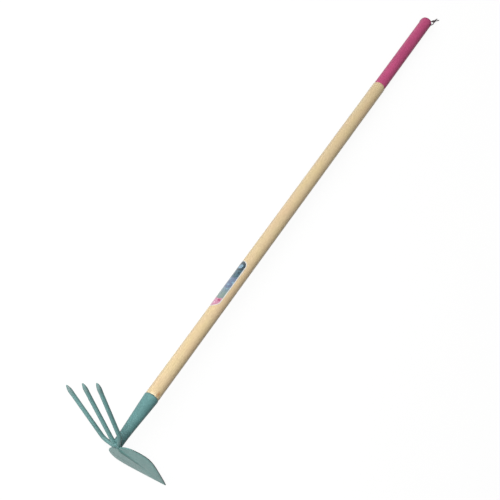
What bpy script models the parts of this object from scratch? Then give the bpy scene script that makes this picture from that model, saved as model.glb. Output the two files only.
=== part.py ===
"""Hoe fork: a long-handled hand tool with a pointed hoe plate on one side of
its socket and three tines on the other.

Every piece is modelled in the tool's own frame, in millimetres along the
handle: Z runs up the shaft towards the grip, X towards the hoe plate, Y across
the head.  All pieces hang on one empty, which lays the tool on its side on the
floor, where it touches with a tine, a shoulder of the plate and the grip's end.
"""

import math

import bmesh
import bpy
from mathutils import Matrix, Vector

MM = 0.001

# ---------------------------------------------------------------- dimensions
SHAFT_R = 14.2            # wooden shaft
GAP = 0.3                 # clearance kept between neighbouring pieces

SOCKET_TOP = 160.8        # mouth of the steel socket
SOCKET_END = 50.0         # its lower end
SOCKET_WALL = 1.5
SOCKET_OUTER = [          # (z, outer radius), mouth to lower end
    (160.8, 14.75), (155.0, 14.4), (132.0, 13.2), (108.0, 11.85),
    (85.0, 10.6), (66.0, 10.0), (50.0, 9.9),
]
DISC_T = 3.0              # disc that closes the socket

GRIP_LOW = 1091.0         # sleeve's rim
GRIP_TOP = 1335.0         # sleeve's closed end, the whole tool's top
GRIP_R_LOW = 13.4
GRIP_R_TOP = 13.2
GRIP_WALL = 1.3
GRIP_CAP = 1.8
GRIP_EDGE = 4.6           # rounding of the closed end

HOLE_Z = 1325.0           # cross hole for the thong
HOLE_AZ = -55.0           # direction of the hole, degrees about Z from +X
HOLE_R = 2.8

TINE_R = 4.1
TINE_PITCH = 8.55         # distance between the tines' roots
TINE_ROOT_X = 1.5
TINE_SPREAD = {1: 48.9, -1: 47.7}   # how far out the two outer tips are
BLADE_RAKE = 9.8          # degrees that the plate leans towards the grip
BLADE_YAW = 2.0           # degrees that the plate is set off square
BLADE_LEN = 127.0
BLADE_T = 2.2
BLADE_EDGE_T = 1.3
BLADE_ROOT = (7.7, 0.0, 43.9)
RIB_H = 4.4
RIB_LEN = 68.0
RIB_HALF = 14.5

SCREW_Z = 137.0
SCREW_AZ = 50.0            # degrees about Z from +X
SCREW_HEAD_R = 3.4
SCREW_SHANK_R = 1.5
SCREW_LEN = 15.0

LABEL_LOW, LABEL_HIGH = 387.5, 515.0
LABEL_ARC = 34.0
LABEL_AZ = 172.0
LABEL_T = 0.25
LABEL_STAND = 0.15

CORD_R = 1.1
CORD_BEND = 4.4           # smallest bend of the thong, to its centreline
CORD_OUT = 14.85          # how far the strands stand off the hole's middle
CORD_OUT_BACK = 14.65     # the same for the strand at the far mouth
KNOT_ETA, KNOT_RHO = 6.1, 37.5
KNOT_TUBE = 1.2
LEAN = 26.0               # degrees that the thong lies off the shaft's line
TAILS = {1: (8.6, 64.0), -1: (5.3, 60.0)}   # (eta, rho) of the free ends
FLOOR_CLEAR = 0.06        # between the thong's free ends and the floor


# ------------------------------------------------------------------- set-up
for old in list(bpy.data.objects):
    bpy.data.objects.remove(old, do_unlink=True)

parts = bpy.data.collections.new("hoe_fork")
tools = bpy.data.collections.new("cutters")
bpy.context.scene.collection.children.link(parts)
bpy.context.scene.collection.children.link(tools)

tool_frame = bpy.data.objects.new("tool_frame", None)
tool_frame.empty_display_size = 0.05
parts.objects.link(tool_frame)


def material(name, colour, rough, metal=0.0):
    m = bpy.data.materials.new(name)
    m.use_nodes = True
    b = m.node_tree.nodes["Principled BSDF"]
    b.inputs["Base Color"].default_value = (*colour, 1.0)
    b.inputs["Roughness"].default_value = rough
    b.inputs["Metallic"].default_value = metal
    m.diffuse_color = (*colour, 1.0)
    return m


WOOD = material("ash_wood", (0.78, 0.60, 0.36), 0.45)
TEAL = material("teal_paint", (0.16, 0.35, 0.34), 0.38)
TEAL_WELD = material("teal_paint_weld", (0.15, 0.33, 0.32), 0.45)
PINK = material("pink_sleeve", (0.46, 0.06, 0.17), 0.5)
STEEL = material("bare_steel", (0.42, 0.42, 0.43), 0.35, 1.0)
THONG = material("dark_thong", (0.09, 0.05, 0.06), 0.7)
LABEL = material("label_film", (0.35, 0.45, 0.55), 0.3)


def add(name, data, mat, coll=None, parent=None):
    o = bpy.data.objects.new(name, data)
    (coll or parts).objects.link(o)
    if mat is not None:
        data.materials.append(mat)
    o.parent = parent or tool_frame
    if coll is tools:
        o.hide_render = True
        o.display_type = "WIRE"
    return o


def round_shading(mesh, angle=40.0):
    mesh.shade_smooth()
    mesh.set_sharp_from_angle(angle=math.radians(angle))


def turned(name, profile, mat, steps=48, coll=None, closed=False):
    """A turned piece: profile is (radius, z) in mm, down its outer side."""
    mesh = bpy.data.meshes.new(name)
    verts = [(r * MM, 0.0, z * MM) for r, z in profile]
    n = len(verts)
    edges = [(i, i + 1) for i in range(n - 1)] + ([(n - 1, 0)] if closed else [])
    mesh.from_pydata(verts, edges, [])
    o = add(name, mesh, mat, coll)
    s = o.modifiers.new("Turn", "SCREW")
    s.axis = "Z"
    s.angle = math.tau
    s.steps = s.render_steps = steps
    s.use_merge_vertices = True
    s.merge_threshold = 0.00001
    s.use_smooth_shade = True
    w = o.modifiers.new("Weld", "WELD")
    w.merge_threshold = 0.00001
    return o


def cylinder(name, radius, depth, mat, coll=None, segments=32):
    mesh = bpy.data.meshes.new(name)
    bm = bmesh.new()
    bmesh.ops.create_cone(bm, cap_ends=True, segments=segments,
                          radius1=radius * MM, radius2=radius * MM, depth=depth * MM)
    bm.to_mesh(mesh)
    bm.free()
    return add(name, mesh, mat, coll)


def cut(target, cutter, how="DIFFERENCE"):
    m = target.modifiers.new("Cut", "BOOLEAN")
    m.operation = how
    m.solver = "EXACT"
    m.object = cutter
    return m


def loft(name, rings, mat, coll=None):
    """Rings of equal length joined side by side, with a face on each end."""
    mesh = bpy.data.meshes.new(name)
    n = len(rings[0])
    verts = [tuple(c * MM for c in p) for ring in rings for p in ring]
    faces = []
    for i in range(len(rings) - 1):
        for j in range(n):
            k = (j + 1) % n
            faces.append((i * n + j, i * n + k, (i + 1) * n + k, (i + 1) * n + j))
    faces.append(tuple(reversed(range(n))))
    faces.append(tuple((len(rings) - 1) * n + j for j in range(n)))
    mesh.from_pydata(verts, [], faces)
    bm = bmesh.new()
    bm.from_mesh(mesh)
    bmesh.ops.recalc_face_normals(bm, faces=bm.faces)
    bm.to_mesh(mesh)
    bm.free()
    round_shading(mesh)
    return add(name, mesh, mat, coll)


# ------------------------------------------------------------ little helpers
def lerp_table(table, x):
    """Piecewise linear value of a table of (x, y), x rising."""
    if x <= table[0][0]:
        return table[0][1]
    for (a, fa), (b, fb) in zip(table, table[1:]):
        if x <= b:
            return fa + (fb - fa) * (x - a) / (b - a)
    return table[-1][1]


def smooth_table(table, x):
    """Catmull-Rom value of a table of (x, y), x rising."""
    if x <= table[0][0]:
        return table[0][1]
    if x >= table[-1][0]:
        return table[-1][1]
    i = max(k for k in range(len(table) - 1) if table[k][0] <= x)
    x1, y1 = table[i]
    x2, y2 = table[i + 1]
    x0, y0 = table[i - 1] if i > 0 else (2 * x1 - x2, 2 * y1 - y2)
    x3, y3 = table[i + 2] if i + 2 < len(table) else (2 * x2 - x1, 2 * y2 - y1)
    m1 = (y2 - y0) / (x2 - x0)
    m2 = (y3 - y1) / (x3 - x1)
    h = x2 - x1
    t = (x - x1) / h
    return ((2 * t**3 - 3 * t**2 + 1) * y1 + (t**3 - 2 * t**2 + t) * h * m1
            + (-2 * t**3 + 3 * t**2) * y2 + (t**3 - t**2) * h * m2)


def filleted(points, radii):
    """A polyline whose inner corners are arcs, as closely spaced points."""
    pts = [Vector(p) for p in points]
    out = [pts[0]]
    for i in range(1, len(pts) - 1):
        a, b, c = pts[i - 1], pts[i], pts[i + 1]
        u, v = (a - b).normalized(), (c - b).normalized()
        half = u.angle(v) / 2
        d = radii[i - 1] / math.tan(half)
        centre = b + (u + v).normalized() * (radii[i - 1] / math.sin(half))
        p, q = b + u * d - centre, b + v * d - centre
        turn = p.angle(q)
        n = max(3, int(turn / math.radians(5)))
        for k in range(n + 1):
            t = k / n
            w = (p * math.sin((1 - t) * turn) + q * math.sin(t * turn)) / math.sin(turn)
            out.append(centre + w)
    out.append(pts[-1])
    return out


def spaced(points, step):
    """The polyline again, with points evenly spaced along it."""
    pts = [Vector(p) for p in points]
    along = [0.0]
    for a, b in zip(pts, pts[1:]):
        along.append(along[-1] + (b - a).length)
    n = max(2, round(along[-1] / step))
    out, j = [], 0
    for k in range(n + 1):
        s = along[-1] * k / n
        while j < len(along) - 2 and along[j + 1] < s:
            j += 1
        t = (s - along[j]) / max(along[j + 1] - along[j], 1e-9)
        out.append(pts[j].lerp(pts[j + 1], min(max(t, 0.0), 1.0)))
    return out, along[-1]


def spline(points, per=8):
    """A smooth curve through points (centripetal Catmull-Rom)."""
    pts = [Vector(p) for p in points]
    pts = [2 * pts[0] - pts[1]] + pts + [2 * pts[-1] - pts[-2]]
    out = []
    for p0, p1, p2, p3 in zip(pts, pts[1:], pts[2:], pts[3:]):
        t0 = 0.0
        t1 = t0 + max((p1 - p0).length, 1e-6) ** 0.5
        t2 = t1 + max((p2 - p1).length, 1e-6) ** 0.5
        t3 = t2 + max((p3 - p2).length, 1e-6) ** 0.5
        for k in range(per):
            t = t1 + (t2 - t1) * k / per
            a1 = p0 * ((t1 - t) / (t1 - t0)) + p1 * ((t - t0) / (t1 - t0))
            a2 = p1 * ((t2 - t) / (t2 - t1)) + p2 * ((t - t1) / (t2 - t1))
            a3 = p2 * ((t3 - t) / (t3 - t2)) + p3 * ((t - t2) / (t3 - t2))
            b1 = a1 * ((t2 - t) / (t2 - t0)) + a2 * ((t - t0) / (t2 - t0))
            b2 = a2 * ((t3 - t) / (t3 - t1)) + a3 * ((t - t1) / (t3 - t1))
            out.append(b1 * ((t2 - t) / (t2 - t1)) + b2 * ((t - t1) / (t2 - t1)))
    out.append(pts[-2])
    return out


def socket_outer(z):
    return lerp_table(sorted(SOCKET_OUTER), z)


# -------------------------------------------------------------------- socket
outer = [(r, z) for z, r in SOCKET_OUTER]
inner = [(r - SOCKET_WALL, z) for z, r in SOCKET_OUTER]
turned("head_socket",
       [(14.35, 161.2)] + outer + [(9.55, 49.75), (8.75, 49.75)]
       + inner[::-1] + [(13.7, 161.2)], TEAL, steps=48, closed=True)
socket = bpy.data.objects["head_socket"]

turned("socket_disc",
       [(0.0, SOCKET_END + GAP + DISC_T), (7.6, SOCKET_END + GAP + DISC_T),
        (8.05, SOCKET_END + GAP + DISC_T - 0.5), (8.05, SOCKET_END + GAP + 0.4),
        (7.7, SOCKET_END + GAP), (0.0, SOCKET_END + GAP)], STEEL, steps=40)

# --------------------------------------------------------------------- shaft
spigot = [(r - SOCKET_WALL - GAP, z) for z, r in SOCKET_OUTER[1:-1]]
shaft_profile = (
    [(0.0, GRIP_TOP - GRIP_CAP - 0.4), (9.4, GRIP_TOP - GRIP_CAP - 0.4),
     (GRIP_R_TOP - GRIP_WALL - GAP, GRIP_TOP - GRIP_CAP - 2.6),
     (GRIP_R_LOW - GRIP_WALL - GAP, GRIP_LOW + 1.0),
     (GRIP_R_LOW - GRIP_WALL - GAP, GRIP_LOW - GAP),
     (13.1, GRIP_LOW - GAP), (13.6, GRIP_LOW - 0.7), (13.98, GRIP_LOW - 1.6),
     (SHAFT_R, GRIP_LOW - 3.2)]
    + [(SHAFT_R, GRIP_LOW - 3.2 - (GRIP_LOW - 3.2 - 166.0) * k / 8) for k in range(1, 9)]
    + [(13.9, 164.4), (12.95, 161.3)] + spigot
    + [(8.1, 57.0), (7.2, SOCKET_END + 2 * GAP + DISC_T + 0.2),
       (0.0, SOCKET_END + 2 * GAP + DISC_T + 0.2)]
)
shaft = turned("handle_shaft", shaft_profile, WOOD, steps=48)

# ---------------------------------------------------------------- grip sleeve
edge = [(GRIP_R_TOP - GRIP_EDGE + GRIP_EDGE * math.sin(math.radians(a)),
         GRIP_TOP - GRIP_EDGE + GRIP_EDGE * math.cos(math.radians(a)))
        for a in range(0, 91, 15)]
inner_top = GRIP_TOP - GRIP_CAP
sleeve_profile = (
    [(0.0, GRIP_TOP)] + edge
    + [(GRIP_R_LOW, GRIP_LOW + 1.0), (GRIP_R_LOW - 0.35, GRIP_LOW),
       (GRIP_R_LOW - GRIP_WALL, GRIP_LOW)]
    + [(GRIP_R_TOP - GRIP_WALL, inner_top - 2.4), (9.7, inner_top), (0.0, inner_top)]
)
sleeve = turned("grip_sleeve", sleeve_profile, PINK, steps=48)

hole = cylinder("hole_cutter", HOLE_R, 60.0, None, tools, segments=28)
hole.location = (0.0, 0.0, HOLE_Z * MM)
hole.rotation_euler = (0.0, math.radians(90.0), math.radians(HOLE_AZ))
cut(sleeve, hole)
cut(shaft, hole)

# -------------------------------------------------------------- socket screw
seat = socket_outer(SCREW_Z) + 0.35
dome = [(SCREW_HEAD_R * math.sin(math.radians(a)),
         0.9 + 1.25 * math.cos(math.radians(a))) for a in range(0, 91, 15)]
screw = turned("socket_screw",
               dome + [(SCREW_HEAD_R, 0.25), (SCREW_HEAD_R - 0.2, 0.0),
                       (SCREW_SHANK_R, 0.0), (SCREW_SHANK_R, -SCREW_LEN + 2.5),
                       (0.35, -SCREW_LEN), (0.0, -SCREW_LEN)], STEEL, steps=28)
screw_out = Vector((math.cos(math.radians(SCREW_AZ)), math.sin(math.radians(SCREW_AZ)), 0.0))
screw.location = (screw_out * seat + Vector((0.0, 0.0, SCREW_Z))) * MM
screw.rotation_euler = (0.0, math.radians(90.0), math.radians(SCREW_AZ))
for k, turn in enumerate((0.0, 90.0)):
    mesh = bpy.data.meshes.new("slot_cutter")
    bm = bmesh.new()
    bmesh.ops.create_cube(bm, size=1.0)
    bmesh.ops.scale(bm, vec=(3.4 * MM, 0.75 * MM, 2.0 * MM), verts=bm.verts)
    bm.to_mesh(mesh)
    bm.free()
    slot = add("slot_cutter_%d" % k, mesh, None, tools)
    slot.parent = screw
    slot.location = (0.0, 0.0, 2.2 * MM)
    slot.rotation_euler = (0.0, 0.0, math.radians(turn))
    cut(screw, slot)

pilot = cylinder("pilot_cutter", SCREW_SHANK_R + GAP, 22.0, None, tools, segments=20)
pilot.rotation_euler = (0.0, math.radians(90.0), math.radians(SCREW_AZ))
pilot.location = (screw_out * (seat - SCREW_LEN - 0.6 + 11.0) + Vector((0.0, 0.0, SCREW_Z))) * MM
cut(socket, pilot)
cut(shaft, pilot)

# --------------------------------------------------------------------- tines
# (distance from the tip, half width across, half thickness)
TIP = [(0.0, 1.1, 0.5), (0.7, 2.0, 0.9), (2.0, 2.8, 1.25), (4.5, 3.6, 1.8),
       (8.0, 4.4, 2.5), (11.5, 4.7, 3.05), (15.5, 4.5, 3.6), (20.0, 4.2, 3.95),
       (25.0, TINE_R, TINE_R)]


def tine(name, route, radii, mat, coll=None, grow=0.0, sides=20):
    line, long = spaced(filleted(route, radii), 1.0)
    stations = [0.0]
    s = 0.0
    while s < long - 26.0:
        s += 4.0
        stations.append(s)
    stations += [long - d for d, _, _ in reversed(TIP) if long - d > stations[-1] + 0.2]
    rings = []
    for s in stations:
        i = min(int(s / long * (len(line) - 1)), len(line) - 2)
        t = s / long * (len(line) - 1) - i
        p = line[i].lerp(line[i + 1], t)
        d = (line[min(i + 2, len(line) - 1)] - line[max(i - 1, 0)]).normalized()
        wide = Vector((0, 0, 1)).cross(d).normalized()
        deep = d.cross(wide)
        left = long - s
        a = smooth_table([(x, w) for x, w, _ in TIP], left) + grow
        b = smooth_table([(x, h) for x, _, h in TIP], left) + grow
        if s == 0.0:
            p = p - d * grow
        if left < 1e-6:
            p = p + d * grow
        rings.append([p + wide * (a * math.cos(math.tau * k / sides))
                      + deep * (b * math.sin(math.tau * k / sides)) for k in range(sides)])
    return loft(name, rings, mat, coll)


CENTRE_ROUTE = [(TINE_ROOT_X, 0.0, 42.4), (-128.4, 0.0, 77.0)]
CENTRE_RADII = []


def outer_route(side):
    end = TINE_SPREAD[side]
    return [(TINE_ROOT_X, side * TINE_PITCH, 42.4), (-5.0, side * TINE_PITCH, 43.9),
            (-28.5, side * 27.9, 50.9), (-129.0, side * end, 74.7)]


OUTER_RADII = [9.0, 40.0]
tine("centre_tine", CENTRE_ROUTE, CENTRE_RADII, TEAL)
tine("left_tine", outer_route(1), OUTER_RADII, TEAL)
tine("right_tine", outer_route(-1), OUTER_RADII, TEAL)

# ---------------------------------------------------------------- hoe plate
# half width of the plate against the distance from its back edge's line
HALF = [(-4.0, 14.0), (-3.5, 19.5), (-2.4, 24.2), (-0.6, 28.8), (2.0, 33.0),
        (5.0, 36.4), (10.0, 40.4), (15.0, 43.4), (20.0, 45.7), (25.0, 47.3),
        (30.0, 48.1), (35.0, 48.3), (40.0, 47.6), (45.0, 46.3), (50.0, 44.6),
        (60.0, 40.2), (70.0, 34.8), (80.0, 29.2), (90.0, 23.6), (100.0, 17.9),
        (110.0, 12.0), (118.0, 7.2), (123.0, 4.0), (126.0, 1.9), (BLADE_LEN, 0.7)]
rake, yaw = math.radians(BLADE_RAKE), math.radians(BLADE_YAW)
BLADE_FRAME = (Matrix.Translation(Vector(BLADE_ROOT))
               @ Matrix.Rotation(-rake, 4, "Y")
               @ Matrix.Translation(Vector((40.0, 0.0, 0.0)))
               @ Matrix.Rotation(yaw, 4, "Z")
               @ Matrix.Translation(Vector((-40.0, 0.0, 0.0))))


def rib(s, eta):
    """Height of the pressed middle rib, towards the plate's outer face."""
    if s >= RIB_LEN:
        return 0.0
    k = 1.0 - (max(s, -4.0) + 4.0) / (RIB_LEN + 4.0)
    height, half = RIB_H * k ** 1.15, RIB_HALF * (0.30 + 0.70 * k)
    u = abs(eta) / half
    if u >= 1.0:
        return 0.0
    gable = 1.0 - math.sqrt(u * u + 0.012)
    foot = u * u * u * u
    return max(0.0, height * (gable / (1.0 - math.sqrt(0.012))) * (1.0 - 0.35 * foot))


ACROSS = [-1.0, -0.97, -0.9, -0.78, -0.64, -0.5, -0.38, -0.29, -0.21, -0.13, -0.06, 0.0,
          0.06, 0.13, 0.21, 0.29, 0.38, 0.5, 0.64, 0.78, 0.9, 0.97, 1.0]


def blade(name, mat, coll=None, grow=0.0):
    stations = [s for s, _ in HALF]
    stations = sorted(set(stations + [55.0, 65.0, 75.0, 85.0, 95.0, 105.0, 114.0]))
    rings = []
    for s in stations:
        half = smooth_table(HALF, s) + grow
        at = s + (-grow if s == stations[0] else grow if s == stations[-1] else 0.0)
        low, high = [], []
        for v in ACROSS:
            eta = v * half
            edge_near = min((1.0 - abs(v)) * half, (BLADE_LEN - s) * 0.5)
            thin = max(0.0, 1.0 - edge_near / 5.0) * (BLADE_T - BLADE_EDGE_T)
            if s < 0:
                thin *= 0.0
            h = rib(s, eta)
            # the outer face looks down (-Z of the plate's own frame)
            low.append(Vector((at, eta, -h - BLADE_T / 2 + thin - grow)))
            high.append(Vector((at, eta, -h + BLADE_T / 2 + grow)))
        rings.append([BLADE_FRAME @ p for p in low + high[::-1]])
    return loft(name, rings, mat, coll)


blade("hoe_blade", TEAL)

# --------------------------------------------------------------- weld metal
cutters = [
    tine("centre_cutter", CENTRE_ROUTE, CENTRE_RADII, None, tools, GAP),
    tine("left_cutter", outer_route(1), OUTER_RADII, None, tools, GAP),
    tine("right_cutter", outer_route(-1), OUTER_RADII, None, tools, GAP),
    blade("blade_cutter", None, tools, GAP),
]
plug = cylinder("socket_cutter", 10.3, 40.0, None, tools, segments=48)
plug.location = (0.0, 0.0, (SOCKET_END - 0.25 - GAP + 20.0) * MM)


def weld(name, centre, semi, extra=()):
    mesh = bpy.data.meshes.new(name)
    bm = bmesh.new()
    bmesh.ops.create_uvsphere(bm, u_segments=36, v_segments=18, radius=MM)
    bmesh.ops.scale(bm, vec=semi, verts=bm.verts)
    bm.to_mesh(mesh)
    bm.free()
    round_shading(mesh)
    o = add(name, mesh, TEAL_WELD)
    o.location = Vector(centre) * MM
    for c in list(cutters) + list(extra):
        cut(o, c)
    return o


weld("upper_weld", (0.3, 0.0, 48.7), (12.6, 12.6, 4.0), (plug,))
weld("lower_weld", (-2.0, 0.0, 41.0), (7.5, 10.8, 2.9))

# --------------------------------------------------------------------- label
half_arc = LABEL_ARC / 2
rows, cols = 28, 12
mesh = bpy.data.meshes.new("shaft_label")
verts, faces = [], []
for i in range(rows + 1):
    c = -math.cos(math.pi * i / rows)
    mid, half_len = (LABEL_LOW + LABEL_HIGH) / 2, (LABEL_HIGH - LABEL_LOW) / 2
    z = mid + c * half_len
    over = max(0.0, abs(z - mid) - (half_len - half_arc))
    wide = max(math.sqrt(max(half_arc**2 - over**2, 0.0)), 1.2)
    for j in range(cols + 1):
        a = math.radians(LABEL_AZ) + wide * (2 * j / cols - 1) / SHAFT_R
        r = SHAFT_R + LABEL_STAND
        verts.append((r * math.cos(a) * MM, r * math.sin(a) * MM, z * MM))
for i in range(rows):
    for j in range(cols):
        a = i * (cols + 1) + j
        faces.append((a, a + 1, a + cols + 2, a + cols + 1))
mesh.from_pydata(verts, [], faces)
label = add("shaft_label", mesh, LABEL)
round_shading(mesh)
solid = label.modifiers.new("Thickness", "SOLIDIFY")
solid.thickness = LABEL_T * MM
solid.offset = 1.0

# ------------------------------------------------------- lay it on the floor
def points_of(names):
    """All surface points of these pieces, in the tool's frame, in metres."""
    graph = bpy.context.evaluated_depsgraph_get()
    found = []
    for n in names:
        o = bpy.data.objects[n]
        e = o.evaluated_get(graph)
        m = e.to_mesh()
        found += [o.matrix_world @ v.co for v in m.vertices]
        e.to_mesh_clear()
    return found


bpy.context.view_layer.update()
SOLID = ["handle_shaft", "grip_sleeve", "head_socket", "socket_disc", "socket_screw",
         "centre_tine", "left_tine", "right_tine", "hoe_blade", "upper_weld",
         "lower_weld", "shaft_label"]
groups = [points_of(["left_tine"]), points_of(["hoe_blade"]), points_of(["grip_sleeve"])]
feet = [max(g, key=lambda p: p.y) for g in groups]
for _ in range(30):
    a, b, c = feet
    down = (b - a).cross(c - a).normalized()
    if down.y < 0:
        down = -down
    lower = [max(g, key=lambda p: p.dot(down)) for g in groups]
    if all((p - q).length < 1e-7 for p, q in zip(lower, feet)):
        break
    feet = lower
z_axis = -down
x_axis = (Vector((0, 0, 1)) - z_axis * z_axis.z).normalized()
y_axis = z_axis.cross(x_axis)
turn = Matrix((x_axis, y_axis, z_axis)).to_4x4()
everything = [turn @ p for p in points_of(SOLID)]
low = Vector([min(p[k] for p in everything) for k in range(3)])
high = Vector([max(p[k] for p in everything) for k in range(3)])
shift = Matrix.Translation(Vector((-(low.x + high.x) / 2, -(low.y + high.y) / 2, -low.z)))
REST = shift @ turn

# -------------------------------------------------------------------- thong
# The thong's own frame: eta along the cross hole, rho away from it.
h_dir = Vector((math.cos(math.radians(HOLE_AZ)), math.sin(math.radians(HOLE_AZ)), 0.0))
k_dir = Vector((0, 0, 1)).cross(h_dir)
pivot = Vector((0.0, 0.0, HOLE_Z))


def thong_point(eta, rho, lean):
    a = math.radians(lean)
    return pivot + h_dir * eta + k_dir * (rho * math.sin(a)) + Vector((0, 0, rho * math.cos(a)))


def lean_on_floor(eta, rho):
    """The lean at which a point of the thong lies on the floor."""
    low, high = 0.0, 60.0
    for _ in range(40):
        mid = (low + high) / 2
        height = (REST @ (thong_point(eta, rho, mid) * MM)).z / MM
        low, high = (mid, high) if height > CORD_R + FLOOR_CLEAR else (low, mid)
    return low


def strand_route(side):
    """From the middle of the hole to the strand's free end."""
    route = [thong_point(side * 0.2, 0.0, 0.0), thong_point(side * 4.0, 0.0, 0.0),
             thong_point(side * 8.0, 0.0, 0.0)]
    start = (CORD_OUT if side > 0 else CORD_OUT_BACK) - CORD_BEND
    lean0 = LEAN * 0.55 if side > 0 else 0.0
    for a in (0.0, 22.5, 45.0, 67.5, 90.0):
        r = math.radians(a)
        route.append(thong_point(side * (start + CORD_BEND * math.sin(r)),
                                 CORD_BEND * (1 - math.cos(r)), lean0))
    if side > 0:
        route += [thong_point(14.8, 10.5, LEAN * 0.8), thong_point(13.6, 18.0, LEAN),
                  thong_point(10.8, 25.5, LEAN)]
    else:
        route += [thong_point(-14.3, 10.0, 0.0), thong_point(-12.7, 16.5, 6.0),
                  thong_point(-8.2, 22.3, 16.0), thong_point(-1.0, 27.4, 22.5)]
    off = side * (CORD_R + 0.25)
    route += [thong_point(KNOT_ETA + off, KNOT_RHO - 3.2, LEAN),
              thong_point(KNOT_ETA + off, KNOT_RHO, LEAN),
              thong_point(KNOT_ETA + off, KNOT_RHO + 3.2, LEAN)]
    eta, rho = TAILS[side]
    far = lean_on_floor(eta, rho)
    route += [thong_point(KNOT_ETA + off + 0.45 * (eta - KNOT_ETA - off), KNOT_RHO + 0.55 * (rho - KNOT_RHO),
                          LEAN + 0.45 * (far - LEAN)),
              thong_point(eta, rho, far)]
    return route


for name, side in (("hang_cord_front", 1), ("hang_cord_back", -1)):
    line, _ = spaced(spline(strand_route(side)), 2.0)
    curve = bpy.data.curves.new(name, "CURVE")
    curve.dimensions = "3D"
    curve.bevel_depth = CORD_R * MM
    curve.bevel_resolution = 2
    curve.use_fill_caps = True
    sp = curve.splines.new("POLY")
    sp.points.add(len(line) - 1)
    for q, p in zip(sp.points, line):
        rel = (p - pivot) * MM
        q.co = (rel.x, rel.y, rel.z, 1.0)
        q.radius = 1.0
    strand = add(name, curve, THONG)
    strand.location = pivot * MM

knot_mid = thong_point(KNOT_ETA, KNOT_RHO, LEAN)
along = (thong_point(KNOT_ETA, KNOT_RHO + 1.0, LEAN) - knot_mid).normalized()
side_dir = h_dir
up_dir = along.cross(side_dir)
curve = bpy.data.curves.new("cord_knot", "CURVE")
curve.dimensions = "3D"
curve.bevel_depth = KNOT_TUBE * MM
curve.bevel_resolution = 2
ring_r, ring_half = CORD_R + GAP + KNOT_TUBE, CORD_R + 0.25
ring = []
for k in range(12):
    a = math.radians(-82.5 + 15.0 * k)
    ring.append(side_dir * (ring_half + ring_r * math.cos(a)) + up_dir * (ring_r * math.sin(a)))
for k in range(12):
    a = math.radians(97.5 + 15.0 * k)
    ring.append(side_dir * (-ring_half + ring_r * math.cos(a)) + up_dir * (ring_r * math.sin(a)))
sp = curve.splines.new("POLY")
sp.points.add(len(ring) - 1)
sp.use_cyclic_u = True
for q, p in zip(sp.points, ring):
    rel = (knot_mid + p - pivot) * MM
    q.co = (rel.x, rel.y, rel.z, 1.0)
knot = add("cord_knot", curve, THONG)
knot.location = pivot * MM

tool_frame.matrix_world = REST
bpy.context.view_layer.update()
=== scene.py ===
import math

import bmesh
import bpy
from mathutils import Matrix, Vector, noise


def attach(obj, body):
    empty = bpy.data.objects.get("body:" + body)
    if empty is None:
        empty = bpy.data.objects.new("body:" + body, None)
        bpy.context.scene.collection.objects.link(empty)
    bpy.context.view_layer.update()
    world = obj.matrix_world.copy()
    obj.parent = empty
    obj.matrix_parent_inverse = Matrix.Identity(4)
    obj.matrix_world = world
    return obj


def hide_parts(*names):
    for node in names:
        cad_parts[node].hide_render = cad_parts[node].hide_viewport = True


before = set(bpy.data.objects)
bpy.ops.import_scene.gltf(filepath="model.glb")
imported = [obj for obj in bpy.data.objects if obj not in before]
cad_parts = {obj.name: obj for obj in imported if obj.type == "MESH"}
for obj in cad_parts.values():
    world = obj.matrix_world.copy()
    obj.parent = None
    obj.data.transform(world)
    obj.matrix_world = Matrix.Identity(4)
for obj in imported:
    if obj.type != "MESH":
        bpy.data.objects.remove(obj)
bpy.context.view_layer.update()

MM = 0.001
SCENE = bpy.context.scene

# The tool's own frame, in millimetres: Z up the handle towards the grip, X
# towards the hoe plate, Y across the head.  REST lays it on the floor, and each
# piece is made in the tool's frame and placed by REST.
REST = Matrix((
    (-0.000722332, -0.028050119, 0.999606252, -0.686272204),
    (-0.999668598, 0.025743525, 0.0, 0.001153782),
    (-0.025733391, -0.999274969, -0.028059419, 0.05052074),
    (0.0, 0.0, 0.0, 1.0),
))


# ------------------------------------------------------------------- camera
VIEW = Matrix((
    (0.56861045, -0.65234989, 0.50112053),
    (-0.72491068, -0.10942201, 0.68009656),
    (-0.3888273, -0.74997763, -0.5351139),
))
cam_data = bpy.data.cameras.new("camera")
cam = bpy.data.objects.new("camera", cam_data)
SCENE.collection.objects.link(cam)
cam.matrix_world = (
    REST
    @ Matrix.Translation(Vector((-1.068174, -2.030211, -0.905693)))
    @ VIEW.transposed().to_4x4()
)
cam_data.sensor_width = 36.0
cam_data.lens = 1363.09 / 500 * 36
cam_data.shift_x = -0.001
cam_data.shift_y = 0.001
cam_data.clip_end = 60.0
SCENE.camera = cam

# --------------------------------------------------------------- dimensions
SHAFT_R = 14.2
GRIP_LOW, GRIP_TOP = 1091.0, 1335.0
GRIP_R_LOW, GRIP_R_TOP = 13.4, 13.2
HOLE_Z, HOLE_AZ, HOLE_R = 1325.0, math.radians(-55.0), 2.8
SOCKET_OUTER = [
    (50.0, 9.9), (66.0, 10.0), (85.0, 10.6), (108.0, 11.85),
    (132.0, 13.2), (155.0, 14.4), (160.8, 14.75),
]
TINE_R, TINE_PITCH = 4.1, 8.55
TIP = [(0.0, 1.1, 0.5), (0.7, 2.0, 1.0), (2.0, 2.8, 1.6), (4.5, 3.6, 2.5),
       (8.0, 4.4, 3.5), (11.5, 4.7, 4.1), (15.5, 4.5, 4.3), (20.0, 4.2, 4.2),
       (25.0, TINE_R, TINE_R)]
BLADE_ROOT = (7.7, 0.0, 43.9)
BLADE_RAKE, BLADE_YAW = math.radians(9.8), math.radians(2.0)
BLADE_LEN, BLADE_T, BLADE_EDGE_T = 127.0, 2.2, 1.3
RIB_H, RIB_LEN = 4.4, 68.0
RIB_HALF = [(-4.0, 8.2), (10.0, 8.8), (25.0, 9.6), (40.0, 9.4), (55.0, 7.6), (68.0, 5.0)]
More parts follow.
